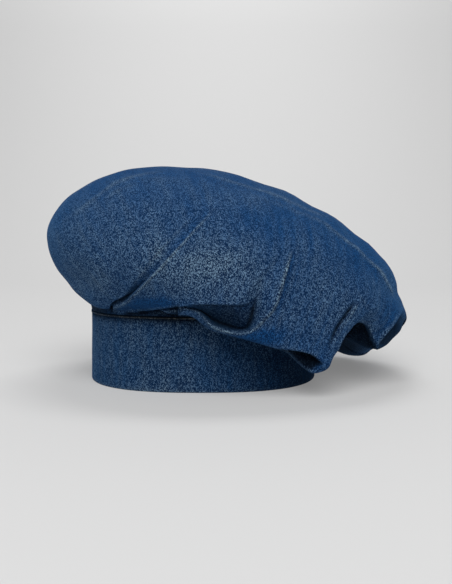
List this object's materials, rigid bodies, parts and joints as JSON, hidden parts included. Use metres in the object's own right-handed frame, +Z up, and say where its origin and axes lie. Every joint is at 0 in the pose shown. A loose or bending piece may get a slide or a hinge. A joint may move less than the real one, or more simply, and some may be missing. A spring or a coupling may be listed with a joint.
{
  "type": "chef hat",
  "caption": "Soft denim chef hat: a stiff oval band, a seam welt and a full pleated crown that puffs up at one side and slumps over the band at the other",
  "frame": {"origin": "on the surface the hat stands on, under the middle of its bounding box", "axes": "+X the way the crown slumps, along the band's long axis; -Y the side seen in the picture; +Z up, out of the top of the crown"},
  "size_m": [0.3228, 0.2504, 0.1874],
  "materials": {
    "band": "matte indigo twill",
    "seam_welt": "matte dark indigo twill",
    "crown": "matte washed indigo twill"
  },
  "bodies": {
    "root": {"band": "band", "seam_welt": "seam_welt", "crown": "crown"}
  },
  "joints": []
}
